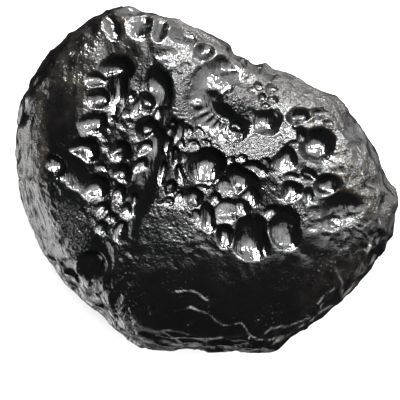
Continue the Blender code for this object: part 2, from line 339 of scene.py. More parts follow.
RING_PITS = (
    Pit(2.3, 16.2, 2.6, 1.7, 0, 1.5),
    Pit(4.0, 7.6, 1.8, 1.8, -10, 1.3, (0.4, 0.6), 0.8),
    Pit(8.8, 8.6, 2.4, 2.1, 10, 1.1, (-0.2, 0.2), 1.0),
    Pit(7.6, 14.0, 1.0, 0.8, 0, 0.6),
    Pit(9.6, 13.7, 0.9, 0.9, 0, 0.7),
    Pit(8.3, 12.4, 0.8, 0.8, 0, 0.6),
    Pit(9.8, 12.1, 0.8, 0.8, 0, 0.6),
    Pit(8.8, 11.1, 0.8, 0.7, 0, 0.5),
    Pit(6.4, 13.2, 0.7, 0.7, 0, 0.4),
)
RIGHT_PITS = (
    Pit(14.6, 13.1, 1.2, 0.6, -55, 0.4),
    Pit(13.2, 9.3, 2.0, 1.4, 15, 1.4),
    Pit(16.4, 9.8, 1.6, 0.9, -15, 0.8),
    Pit(17.6, 8.3, 1.0, 0.8, -20, 0.7),
    Pit(16.3, 5.2, 2.9, 2.8, 0, 2.1),
    Pit(14.0, 6.6, 1.4, 1.3, 0, 1.3),
    Pit(11.2, 2.6, 2.2, 1.9, 35, 1.2),
    Pit(6.7, 1.5, 2.1, 1.3, 0, 1.0, (0.0, 1.0), 0.4),
    facet(3.4, 2.7, 0.9, 0.8, 0, 0.6, 0.0),
    facet(5.1, 2.8, 0.8, 0.7, 0, 0.5, 0.0),
    facet(8.4, 2.2, 0.7, 1.0, 0, 0.7, 0.0),
    Pit(12.0, 0.3, 1.3, 0.8, 0, 0.7),
    Pit(12.2, -1.6, 1.8, 1.6, 0, 1.3),
    Pit(14.7, -2.4, 0.9, 1.4, 0, 0.8),
    Pit(14.6, 0.6, 1.4, 1.1, 0, 1.1),
    Pit(17.4, -0.8, 2.2, 1.9, 0, 1.5),
    Pit(19.6, -4.3, 3.6, 3.1, 15, 1.4, (0.1, 0.1), 1.0),
    Pit(18.4, -6.2, 2.2, 1.4, 10, 1.4),
)
MIDDLE_PITS = (
    facet(-1.1, 6.9, 0.8, 0.8, 0, 0.6, 0.2),
    facet(-2.7, 6.7, 0.8, 0.9, 0, 0.65, 0.2),
    facet(-3.5, 5.0, 0.6, 0.8, 0, 0.6, 0.2),
    facet(-2.0, 5.0, 0.8, 0.8, 0, 0.6, 0.2),
    facet(-0.3, 5.3, 0.8, 0.7, 0, 0.5, 0.2),
    Pit(-0.1, 2.0, 3.0, 2.8, 35, 2.6, (0.35, 0.35)),
    Pit(0.6, 1.3, 0.7, 1.5, -25, 2.5, (0.2, 0.5)),
    Pit(5.2, 0.0, 3.0, 2.0, -40, 2.0),
    facet(2.9, -1.0, 1.6, 1.5, 0, 0.7, 0.0),
    Pit(6.2, -2.3, 1.5, 2.0, 0, 1.5),
    facet(3.1, -4.3, 2.0, 1.7, 0, 0.55, 0.0),
    Pit(5.3, -3.9, 1.1, 1.5, 0, 1.1),
    Pit(-2.1, -2.7, 1.6, 1.5, 75, 1.4),
    Pit(-0.9, -1.2, 0.9, 0.7, 0, 0.6),
    Pit(1.0, -2.6, 1.0, 0.9, 0, 0.8),
    Pit(0.1, -5.4, 1.3, 2.3, 10, 1.3, (0.2, 0.2)),
    Pit(-1.5, -5.4, 0.8, 1.4, 20, 0.7),
    Pit(6.4, -8.4, 2.8, 3.5, 0, 2.1, (0.1, 0.0), 0.9),
    Pit(5.3, -10.0, 1.0, 1.3, 15, 1.3, (0.1, 0.3)),
    Pit(8.3, -9.8, 0.9, 1.4, -10, 1.2, (0.0, 0.3)),
    Pit(2.6, -8.0, 1.5, 1.9, 20, 1.5, (0.2, 0.2)),
    Pit(11.3, -7.0, 2.3, 3.3, 10, 1.9, (0.0, 0.0)),
    Pit(9.3, -4.7, 1.2, 1.1, 0, 0.9),
)
TOP_PITS = (
    Pit(-3.6, 20.1, 2.1, 1.2, -10, 1.3),
    Pit(-0.6, 18.3, 1.5, 1.0, -10, 1.2),
    Pit(-13.2, 20.9, 1.5, 1.2, 0, 1.0),
    Pit(-16.4, 21.0, 1.3, 1.1, 20, 0.8),
    Pit(-9.6, 20.9, 1.8, 1.3, 10, 1.2),
    Pit(-6.9, 20.4, 1.2, 1.5, 0, 1.1),
    Pit(-10.9, 22.8, 1.4, 0.8, 0, 0.8),
    Pit(-12.5, 23.3, 0.7, 0.5, 0, 0.3),
    Pit(6.1, 17.0, 1.0, 0.8, 0, 0.4),
    Pit(7.3, 16.2, 1.0, 0.8, 0, 0.4),
)
LOWER_PITS = (
    Pit(-16.6, -12.1, 2.4, 2.1, 10, 1.8),
    Pit(-15.3, -10.8, 2.0, 2.6, 20, 0.9),
    Pit(-18.9, -14.9, 2.2, 1.3, -45, 1.0),
    Pit(-17.0, -16.8, 0.9, 1.3, 0, 0.6),
    Pit(-15.7, -17.5, 1.7, 1.0, -55, 0.6),
    Pit(1.9, -25.1, 2.8, 2.4, 0, 0.7),
    Pit(7.7, -24.4, 1.7, 1.3, 0, 0.6),
    Pit(10.6, -22.0, 2.0, 0.9, 25, 0.5),
    Pit(-0.3, -21.0, 2.8, 2.8, 0, 0.4),
    Pit(4.1, -22.0, 2.5, 2.2, 0, 0.4),
    Pit(-4.9, -19.6, 2.4, 2.0, 20, 0.2),
    Pit(-1.7, -17.4, 2.5, 2.5, 0, 0.2),
    Pit(-5.8, -23.0, 3.0, 1.2, 0, 0.4),
    Pit(19.1, -12.8, 1.0, 0.9, 0, 0.4),
)
MARGIN_PITS = (
    Pit(22.2, 4.2, 2.0, 1.3, -50, 0.5),
    Pit(21.0, 7.6, 1.8, 1.8, 0, 0.5),
    Pit(24.0, -1.0, 1.8, 1.6, 0, 0.5),
    Pit(25.8, -3.5, 1.2, 1.6, 0, 0.6),
    Pit(25.0, -8.6, 0.8, 1.3, -30, 1.0, (0.0, 0.8), 0.4),
    Pit(24.2, -10.9, 0.8, 1.4, -35, 1.0, (0.0, 0.8), 0.4),
    Pit(23.0, -12.8, 0.5, 1.1, -40, 0.6),
)
FACE_PITS = (
    UPPER_LEFT_PITS + LEFT_PITS + RING_PITS + RIGHT_PITS + MIDDLE_PITS + TOP_PITS + LOWER_PITS + MARGIN_PITS
)

FURROWS = (
    Furrow(2.0, 1.6, 1.0, ((-7.0, 5.6), (-8.0, 2.6), (-9.0, -0.7), (-10.2, -4.1))),
    Furrow(1.1, 0.8, 0.2, ((-9.8, -4.1), (-10.6, -7.0), (-11.3, -9.6))),
    Furrow(1.4, 0.7, 1.1, ((2.4, 13.8), (1.3, 12.9), (0.9, 11.5), (1.5, 10.2), (2.8, 9.5))),
    Furrow(
        2.3, 0.7, 0.8,
        ((3.0, 15.8), (0.6, 15.0), (-0.6, 13.4), (-0.9, 11.4), (0.0, 9.4), (2.0, 8.0), (4.0, 7.5)),
    ),
)

# Seams: half width, height, line, and how strongly a pale highlight is painted on the crest (1 where not
# given)
SEAMS = (
    Seam(0.9, 0.45, ((8.0, 2.5), (10.4, 4.4), (12.9, 6.7)), 0.0),
    Seam(0.7, 0.35, ((-14.2, -15.2), (-13.9, -17.0), (-13.6, -19.2)), 0.0),
    Seam(0.4, 0.3, ((8.6, -24.2), (10.2, -23.2), (12.6, -22.0), (14.9, -20.6), (17.6, -18.6), (19.2, -17.2))),
    Seam(0.35, 0.25, ((19.2, -17.2), (20.6, -15.7), (22.4, -13.4), (24.2, -11.2))),
    Seam(0.5, 0.4, ((12.6, 7.8), (15.1, 9.1)), 0.0),
    Seam(0.26, 0.26, ((0.3, -19.8), (2.3, -21.0), (4.6, -20.4), (6.4, -22.4), (6.0, -24.4))),
    Seam(0.26, 0.26, ((6.4, -22.4), (7.6, -23.0), (9.6, -22.8), (12.2, -22.3))),
    Seam(0.26, 0.26, ((8.0, -22.2), (9.2, -21.3), (11.8, -20.9), (14.6, -20.3))),
    Seam(0.26, 0.24, ((-4.1, -18.8), (-2.2, -18.4), (0.3, -19.8))),
    Seam(0.26, 0.2, ((-4.6, -16.2), (-2.0, -16.1), (0.2, -17.3))),
    Seam(0.26, 0.2, ((18.6, -13.2), (19.4, -14.6), (19.2, -16.6))),
    Seam(0.26, 0.2, ((16.2, -17.9), (17.0, -16.4), (18.4, -15.6))),
    Seam(0.4, 0.3, ((22.9, -12.0), (23.2, -10.4), (24.4, -8.9), (25.9, -8.3))),
    Seam(0.35, 0.25, ((-11.0, -22.6), (-8.4, -23.4), (-4.6, -23.7), (-1.2, -24.0))),
    Seam(0.26, 0.26, ((-0.9, -24.4), (0.2, -23.0), (1.8, -22.7), (3.4, -23.4), (4.2, -24.7))),
    Seam(0.24, 0.2, ((21.6, 5.0), (22.4, 3.4), (24.2, 2.6), (25.2, 0.8))),
    Seam(0.24, 0.2, ((22.4, 3.4), (21.8, 1.6), (22.6, -0.4), (24.6, -1.4))),
    Seam(0.22, 0.18, ((20.2, -6.4), (22.0, -7.2), (23.6, -8.6))),
    Seam(0.22, 0.18, ((24.8, -2.2), (24.2, -4.2), (24.9, -6.2))),
    Seam(0.22, 0.16, ((-17.7, 10.7), (-15.8, 10.1), (-14.1, 10.6))),
    Seam(0.22, 0.16, ((-17.6, 10.2), (-15.8, 9.6), (-14.0, 10.1))),
)

CRINKLES = (
    Crinkle(-3.4, 12.5, 2.0, 6.0, 0, 0.5, 0.08, 70, 1.6, 0.2),
    Crinkle(4.4, 11.6, 3.2, 2.4, 0, 0.5, 0.08, 30, 1.5, 0.2),
    Crinkle(6.2, 4.4, 6.8, 2.1, 5, 0.45, 0.05, 0, 1.0, 0.2),
    Crinkle(-4.5, 0.6, 1.8, 5.2, 0, 0.5, 0.04, 88, 5.0, 0.0),
    Crinkle(-5.2, -6.4, 4.6, 4.4, 0, 0.32, 0.06, satin=0.0),
    Crinkle(-19.5, -6.5, 2.6, 4.0, 20, 0.36, 0.08, 125, 3.5, 0.0),
    Crinkle(-14.6, -4.6, 3.2, 4.2, 20, 0.5, 0.1, 60, 3.0, 0.1),
    Crinkle(11.0, 12.8, 6.0, 1.8, -28, 0.5, 0.08, -25, 2.5, 1.0),
    Crinkle(-1.5, 5.5, 2.4, 2.2, 0, 0.5, 0.08, 60, 2.0, 0.8),
    Crinkle(12.5, 1.0, 5.5, 3.5, 0, 0.6, 0.03, 60, 2.0),
    Crinkle(-9.2, 2.2, 1.6, 4.4, -15, 0.6, 0.03, 78, 5.0, 0.0),
    Crinkle(12.8, -5.6, 1.4, 2.4, 0, 0.5, 0.14, satin=0.0),
    Crinkle(20.0, -5.6, 3.2, 1.8, 15, 0.9, 0.12, 25, 2.0, 0.1),
    Crinkle(23.0, 2.0, 3.6, 9.0, 22, 1.5, 0.12, 60, 1.5, 0.1),
    Crinkle(19.5, 9.5, 4.0, 3.5, -40, 1.2, 0.12, -50, 1.8, 0.1),
    Crinkle(12.0, 14.5, 8.0, 1.6, -28, 1.1, 0.12, -28, 2.5, 0.2),
    Crinkle(-1.0, 21.3, 7.0, 1.3, -20, 0.9, 0.1, -20, 2.0, 0.1),
)

# Ribs across the curled furrow: middle x and y, half length, and turn in degrees from X
RIBS = (
    (-0.5, 9.7, 1.1, 30), (0.4, 9.1, 1.1, 42), (1.3, 8.6, 1.2, 50),
    (2.2, 8.1, 1.2, 56), (3.1, 7.6, 1.2, 62), (4.0, 7.3, 1.2, 66),
)
RIB_WIDTH = 0.32
RIB_HEIGHT = 0.25

SWELLS = (
    Swell(4.5, 9.5, 7.0, 5.0, 10, -1.5),
    Swell(6.0, 2.7, 5.5, 1.9, 5, 0.65),
    Swell(4.4, 11.6, 2.8, 2.0, 0, 1.3),
    Swell(1.2, 13.2, 0.9, 0.6, 0, 0.4),
    Swell(-1.3, 10.9, 0.8, 0.6, 0, 0.4),
    *(Swell(x, y, length, RIB_WIDTH, turn, RIB_HEIGHT) for x, y, length, turn in RIBS),
    Swell(-11.0, 22.3, 7.5, 3.4, -15, 2.1),
    Swell(-22.5, 16.0, 5.0, 3.4, 45, 1.2),
    Swell(-5.0, 20.5, 4.0, 3.0, 0, 0.5),
    Swell(-17.5, 20.0, 4.5, 3.2, 35, 1.0),
    Swell(-5.6, 11.0, 2.8, 7.0, 5, 0.9),
    Swell(3.5, -2.5, 5.5, 5.0, 0, -0.9),
    Swell(-14.0, 11.0, 2.6, 6.0, -15, -0.8),
    Swell(-14.5, -1.5, 5.0, 5.0, 0, -1.0),
    Swell(-7.5, 9.0, 2.5, 7.0, 5, -0.8),
    Swell(16.5, 4.0, 5.0, 6.0, 0, -1.2),
    Swell(19.0, -4.5, 4.0, 3.5, 0, -0.6),
)


@dataclass
class LumpForm:
    """The smooth form of the lump, before anything is cut into it.

    Its widest line sways up and down in waves, each with its share, its count around the lump and its phase.
    """

    height: float = 28.0
    waist_height: float = 12.5
    waist_sway: float = 1.6
    sway_waves: tuple[tuple[float, int, float], ...] = ((0.6, 1, 0.7), (0.4, 3, -1.1))
    waist_start: float = 0.8
    face_fullness: float = 3.1
    back_fullness: float = 2.7
    flat_cut: float = 0.9
    waist_angle: float = math.radians(104)
    corner_wear: float = 0.35
    corner_steps: int = 15
    quarter_steps: ClassVar[int] = 400

    def outline_radius(self, angles: np.ndarray) -> tuple[np.ndarray, np.ndarray]:
        """Read the outline.

        Args:
            angles: Angles about the middle of the lump.

        Returns:
            The distance out to the outline at each angle, and the same with its corners worn away.
        """
        points = np.array(OUTLINE)
        point_angles = np.arctan2(points[:, 1], points[:, 0])
        order = np.argsort(point_angles)
        around, reach = point_angles[order], np.hypot(*points[order].T)
        steps = np.linspace(-self.corner_wear, self.corner_wear, self.corner_steps)
        turned = [np.interp(angles + step, around, reach, period=math.tau) for step in steps]
        return np.interp(angles, around, reach, period=math.tau), np.mean(turned, axis=0)

    def quarter(
        self, fullness: float, height: float, radius: float
    ) -> tuple[np.ndarray, np.ndarray, np.ndarray]:
        """Draw one quarter of the lump's section.

        Args:
            fullness: 2 for a round section, more for a squarer one.
            height: Height of the quarter.
            radius: Its width, for measuring along it.

        Returns:
            Shares of the width, heights, and the length run so far as a share of the whole.
        """
        turn = np.linspace(0.0, math.pi / 2, self.quarter_steps)
        out = np.sin(turn) ** (2 / fullness)
        up = np.cos(turn) ** (2 / fullness) * height
        run = np.concatenate(([0.0], np.cumsum(np.hypot(np.diff(out) * radius, np.diff(up)))))
        return out, up, run / run[-1]

    def place(self, directions: np.ndarray) -> tuple[np.ndarray, np.ndarray, np.ndarray, np.ndarray]:
        """Carry the points of a round ball onto the lump.

        Args:
            directions: Points of a ball of radius 1.

        Returns:
            Points of the lump, a mask of its face, their shares of the way out, and their heights over
            the waist.
        """
        angles = np.arctan2(directions[:, 1], directions[:, 0])
        tilt = np.arccos(np.clip(directions[:, 2], -1, 1))
        on_face = tilt <= self.waist_angle
        sharp, worn = self.outline_radius(angles)
        top = self.quarter(self.face_fullness, self.height - self.waist_height, worn.mean())
        low = self.quarter(self.back_fullness, self.waist_height + self.flat_cut, worn.mean())
        face_run = np.sin(tilt / 2) / math.sin(self.waist_angle / 2)
        back_run = np.cos(tilt / 2) / math.cos(self.waist_angle / 2)
        out = np.where(on_face, np.interp(face_run, top[2], top[0]), np.interp(back_run, low[2], low[0]))
        up = np.where(on_face, np.interp(face_run, top[2], top[1]), -np.interp(back_run, low[2], low[1]))
        near_waist = np.clip((out - self.waist_start) / (1 - self.waist_start), 0, 1) ** 2
        radius = out * (worn + (sharp - worn) * near_waist)
        sway = sum(share * np.sin(count * angles + phase) for share, count, phase in self.sway_waves)
        height = self.waist_height + up + self.waist_sway * sway * near_waist
        points = np.column_stack((radius * np.cos(angles), radius * np.sin(angles), height))
        return points, on_face, out, up


@dataclass
class Scatter:
    """Pits strewn over the flank and the back."""

    seed: int = 41
    count: int = 260
    radii: tuple[float, float] = (0.9, 3.2)
    depth_share: float = 0.42
    flat_keep_radius: float = 8.5
    roundness: float = 0.75

    def depth_at(self, points: np.ndarray, open_skin: np.ndarray) -> np.ndarray:
        """Find how deep the strewn pits cut each point.

        Args:
            points: Points of the smooth lump.
            open_skin: Mask of the points that a pit may be centred on.

        Returns:
            The depth, 0 where no pit reaches.
        """
        draw = random.Random(self.seed)
        sites = points[open_skin & (np.hypot(points[:, 0], points[:, 1]) > self.flat_keep_radius)]
        cut = np.zeros(len(points))
        for _ in range(self.count):
            radius = draw.uniform(*self.radii)
            middle = sites[draw.randrange(len(sites))]
            if math.hypot(middle[0], middle[1]) < self.flat_keep_radius + radius:
                continue
            squared = np.sum((points - middle) ** 2, axis=1) / radius**2
            bowl = np.clip(1.0 - squared, 0.0, None) ** self.roundness
            cut = np.maximum(cut, radius * self.depth_share * bowl)
        return cut


@dataclass(frozen=True)
class Patch(Oval):
    """A patch of the face that is finished in its own way, such as smooth or tinted brown."""

    strength: float = 1.0
    edge_sharpness: ClassVar[float] = 2.0

    def share_at(self, plan: np.ndarray) -> np.ndarray:
        """How strongly the patch works on each point, from 0 to its strength."""
        return self.strength * np.clip(self.edge_sharpness * self.inside(plan), 0.0, 1.0)


SMOOTH_PATCHES = (
    Patch(-20.8, 9.0, 3.4, 5.5),
    Patch(-6.0, 1.2, 1.4, 2.4),
    Patch(-8.0, -1.0, 1.2, 4.5, -18.0),
    Patch(10.5, -15.0, 11.0, 4.5, 15.0),
    Patch(21.5, 6.5, 2.6, 4.0, 25.0),
    Patch(15.5, -9.5, 4.0, 2.2, -30.0),
    Patch(12.0, 2.8, 2.6, 1.8, 40.0),
    Patch(14.5, -19.5, 9.5, 2.8, 38.0),
    Patch(1.0, -22.0, 10.0, 3.4),
    Patch(4.0, -13.4, 8.0, 3.4, 4.0),
    Patch(-4.0, -15.0, 6.0, 3.0),
    Patch(-4.0, -9.0, 7.5, 4.4, 0.0, 0.65),
    Patch(-13.0, 18.8, 8.0, 1.8, 0.0, 0.5),
)

# Patches of skin tinted a cloudy brown, with the tint's strength last
BROWN_TINT_PATCHES = (
    Patch(-19.0, 16.0, 12.0, 8.0, 35.0, 0.4),
    Patch(-3.0, 21.5, 14.0, 4.5, -15.0, 0.6),
    Patch(23.0, 3.0, 6.5, 11.0, 20.0, 0.7),
    Patch(12.0, 13.0, 11.0, 5.0, -28.0, 0.8),
    Patch(18.0, -14.5, 7.0, 4.0, 40.0, 0.35),
    Patch(-26.0, 6.0, 3.5, 11.0, 0.0, 0.6),
)


@dataclass
class Specks:
    """Small pits strewn over a flat sheet of skin.

    They lie within the reach to either side, and thin out above and below the middle with the spread.
    """

    seed: int = 7
    count: int = 1600
    radii: tuple[float, float] = (0.2, 0.7)
    stretch: tuple[float, float] = (1.0, 2.6)
    turns: tuple[float, float] = (0.0, 180.0)
    depth_share: float = 0.38
    reach: float = 24.0
    middle: float = 0.0
    spread: float = 13.0
    smallness: float = 2.0
    roundness: float = 0.6

    def depth_at(self, plan: np.ndarray) -> np.ndarray:
        """Find how deep the small pits cut each point.

        Args:
            plan: Points on the sheet.

        Returns:
            The depth, 0 where no pit reaches.
        """
        draw = random.Random(self.seed)
        cut = np.zeros(len(plan))
        for _ in range(self.count):
            small = draw.random() ** self.smallness
            radius = self.radii[0] + (self.radii[1] - self.radii[0]) * small
            x, y = draw.uniform(-self.reach, self.reach), draw.gauss(self.middle, self.spread)
            stretch, turn = draw.uniform(*self.stretch), draw.uniform(*self.turns)
            near = np.hypot(plan[:, 0] - x, plan[:, 1] - y) < stretch * radius
            along, across = ellipse_share(plan[near], x, y, radius * stretch, radius, turn)
            bowl = np.clip(1.0 - along**2 - across**2, 0.0, None) ** self.roundness
            cut[near] = np.maximum(cut[near], radius * self.depth_share * bowl)
        return cut


@dataclass
class Relief:
    """Everything that is cut into the lump's skin or stands up from it.

    The swell, the wave, the wander, the fray and each layer of the skin are noises, given by their height and
    their length. The flank's edge is given by the share of the way out where it starts, and its width.
    """

    scatter: Scatter = field(default_factory=Scatter)
    swell: tuple[float, float] = (0.55, 11.0)
    wave: tuple[float, float] = (0.16, 2.6)
    face_limit: float = 0.965
    face_edge: float = 0.04
    flank_edge: tuple[float, float] = (0.88, 0.08)
    waist_share: float = 0.12
    waist_reach: float = 5.0
    wander: tuple[float, float] = (0.5, 2.6)
    fray: tuple[float, float] = (0.08, 0.9)
    wander_seeds: tuple[float, float] = (7.3, 21.9)
    skin: tuple[tuple[float, float], ...] = ((0.06, 1.1), (0.05, 0.5))
    skin_level: float = 0.5
    skin_steepness: float = 2.0
    smooth_share: float = 0.2
    flank_turn: float = 25.0
    # Patchiness and sharpness of the pale highlight painted along the seams' crests
    crest_highlight_length: float = 1.4
    crest_highlight_seed: float = 4.0
    crest_highlight_level: float = 0.4
    crest_highlight_contrast: float = 1.6
    crest_highlight_sharpness: float = 4.0
    pit_smoothing: float = 0.85
    pit_depth: float = 0.85
    smooth_polish: float = 0.7
    polished_depth: float = 0.5
    specks: Specks = field(default_factory=Specks)
    lenses: Specks = field(
        default_factory=lambda: Specks(
            seed=19,
            count=1700,
            radii=(0.5, 1.7),
            stretch=(1.2, 2.4),
            turns=(-35.0, 35.0),
            depth_share=0.45,
            reach=79.0,
            middle=-6.0,
            spread=7.0,
        )
    )

    def lift(
        self, points: np.ndarray, on_face: np.ndarray, out: np.ndarray, up: np.ndarray
    ) -> tuple[np.ndarray, np.ndarray]:
        """Work out how far each point moves along the skin's normal, and how polished the glass is there.

        Args:
            points: Points of the smooth lump.
            on_face: Mask of the face.
            out: Share of the way out of each point.
            up: Height over the waist of each point.

        Returns:
            The move outwards, below 0 where the skin is cut, and the polish, from 0 on the skin to 1 in
            the pits.
        """
        strewn = self.scatter.depth_at(points, ~on_face | (out > self.face_limit))
        lift = self.swell[0] * noise_field(points, self.swell[1])
        lift += self.wave[0] * noise_field(points, self.wave[1]) - strewn
        lift *= 1 - (1 - self.waist_share) * np.exp(-((up / self.waist_reach) ** 2))
        face_fade = np.where(on_face, np.clip((1 - out) / self.face_edge, 0, 1), 0.0)
        cut, rise = self.face_relief(points[:, :2])
        polish = np.clip(np.maximum(cut * face_fade, strewn) / self.polished_depth, 0.0, 1.0)
        rough = 1.0 - self.pit_smoothing * polish
        grain = self.skin_grain(points) - self.specks.depth_at(points[:, :2]) * face_fade
        smooth = np.where(on_face, self.smoothness(points[:, :2]), 0.0)
        lift += grain * rough * (1.0 - (1.0 - self.smooth_share) * smooth)
        lift -= self.flank_lenses(points, out)
        return lift + (rise - cut) * face_fade, np.maximum(polish, self.smooth_polish * smooth)

    @staticmethod
    def smoothness(plan: np.ndarray) -> np.ndarray:
        """Find how smooth each point of the face is kept, from 0 to 1."""
        return np.max([patch.share_at(plan) for patch in SMOOTH_PATCHES], axis=0)

    def skin_grain(self, points: np.ndarray) -> np.ndarray:
        """Work out the fine grain all over the skin.

        Args:
            points: Points of the smooth lump.

        Returns:
            The move outwards of each point.
        """
        grain = np.zeros(len(points))
        for height, length in self.skin:
            creases = self.skin_steepness * np.abs(noise_field(points, length, length))
            grain += height * (self.skin_level - creases)
        return grain

    def flank_lenses(self, points: np.ndarray, out: np.ndarray) -> np.ndarray:
        """Find how deep the lens-shaped facets cut the flank.

        Args:
            points: Points of the smooth lump.
            out: Share of the way out of each point.

        Returns:
            The depth, 0 on the face.
        """
        around = np.arctan2(points[:, 1], points[:, 0]) * self.flank_turn
        down = points[:, 2] - np.hypot(points[:, 0], points[:, 1])
        depth = self.lenses.depth_at(np.column_stack((around, down)))
        start, width = self.flank_edge
        return depth * np.clip((out - start) / width, 0, 1)

    def wandered(self, plan: np.ndarray) -> np.ndarray:
        """Shift the plan's points a little, so that what is laid out on them has natural, uneven edges.

        Args:
            plan: Points seen from above.

        Returns:
            The shifted points.
        """
        wandered = plan.copy()
        for reach, length in (self.wander, self.fray):
            for column, seed in enumerate(self.wander_seeds):
                wandered[:, column] += reach * noise_field(plan, length, seed)
        return wandered

    def crest_highlight_share(self, plan: np.ndarray) -> np.ndarray:
        """Find how strongly a pale highlight is painted on the glass at each point, from 0 to 1 on the crests
        of the seams.

        Args:
            plan: Points seen from above.

        Returns:
            The shares.
        """
        wandered = self.wandered(plan)
        crests = [seam.crest_highlight * seam.share_at(wandered) ** self.crest_highlight_sharpness for seam in SEAMS]
        patchy = self.crest_highlight_level + self.crest_highlight_contrast * noise_field(plan, self.crest_highlight_length, self.crest_highlight_seed)
        return np.clip(patchy, 0.0, 1.0) * np.max(crests, axis=0)

    def face_relief(self, plan: np.ndarray) -> tuple[np.ndarray, np.ndarray]:
        """Work out the relief of the face alone.

        Args:
            plan: Points seen from above.

        Returns:
            How deep the pits and furrows cut each point, and how far the rest of the relief lifts it.
        """
        wandered = self.wandered(plan)
        cut = np.zeros(len(plan))
        for pit in FACE_PITS:
            cut = np.maximum(cut, self.pit_depth * pit.depth_at(wandered))
        for furrow in FURROWS:
            cut = np.maximum(cut, furrow.depth_at(wandered))
        rise = np.zeros(len(plan))
        for seam in SEAMS:
            rise = np.maximum(rise, seam.height * seam.share_at(wandered))
        for swell in SWELLS:
            rise = rise + swell.height_at(plan)
        for crinkle in CRINKLES:
            rise = rise + crinkle.height_at(plan)
        return cut, rise


@dataclass(frozen=True)
class Nodes:
    """The node tree of a material or a world, with short ways to add to it."""

    tree: bpy.types.NodeTree

    def feed(self, socket: bpy.types.NodeSocket, value: object) -> None:
        """Give an input its value, or link it to the socket that gives the value.

        Args:
            socket: The input.
            value: The value, or the socket that gives it.
        """
        if isinstance(value, bpy.types.NodeSocket):
            self.tree.links.new(value, socket)
        else:
            socket.default_value = value

    def add(
        self, kind: str, output: str, inputs: dict[str | int, object], **settings: str
    ) -> bpy.types.NodeSocket:
        """Add a node.

        Args:
            kind: The node's kind.
            output: Name of the output that is used.
            inputs: A value, or the socket that gives it, for each input's name or number.
            settings: The node's own settings.

        Returns:
            The output.
        """
        node = self.tree.nodes.new(kind)
        for name, setting in settings.items():
            setattr(node, name, setting)
        for name, value in inputs.items():
            self.feed(node.inputs[name], value)
        return node.outputs[output]

    def math(self, operation: str, *values: float | bpy.types.NodeSocket) -> bpy.types.NodeSocket:
        """Add a node that works out a number from the values."""
        return self.add("ShaderNodeMath", "Value", dict(enumerate(values)), operation=operation)

    def mix(
        self, share: bpy.types.NodeSocket, low: object, high: object, kind: str = "FLOAT"
    ) -> bpy.types.NodeSocket:
        """Add a node that mixes two numbers, or two colours where its kind is RGBA."""
        return self.add("ShaderNodeMix", "Result", {"Factor": share, "A": low, "B": high}, data_type=kind)

    def mark(self, name: str) -> bpy.types.NodeSocket:
        """Add a node that reads one of the values that the skin carries."""
        return self.add("ShaderNodeAttribute", "Fac", {}, attribute_name=name)


@dataclass(frozen=True)
class Mottle:
    """A noise in the glass, with the length of its longest wave in millimetres."""

    length: float
    detail: float
    stretch: tuple[float, float, float] = (1.0, 1.0, 1.0)
    low: float = 0.35
    high: float = 0.65

    def add(self, nodes: Nodes, ends: tuple[float, float] = (0.0, 1.0)) -> bpy.types.NodeSocket:
        """Add the noise's nodes.

        Args:
            nodes: The glass's nodes.
            ends: What the noise's low and high ends become.

        Returns:
            The socket that gives the noise.
        """
        place = nodes.add("ShaderNodeTexCoord", "Object", {})
        scale = tuple(1.0 / (self.length * MM * share) for share in self.stretch)
        shaped = nodes.add("ShaderNodeMapping", "Vector", {"Vector": place, "Scale": scale})
        inputs = {"Vector": shaped, "Scale": 1.0, "Detail": self.detail}
        value = nodes.add("ShaderNodeTexNoise", "Fac", inputs)
        limits = zip(("From Min", "From Max", "To Min", "To Max"), (self.low, self.high, *ends))
        return nodes.add("ShaderNodeMapRange", "Result", {"Value": value, **dict(limits)})


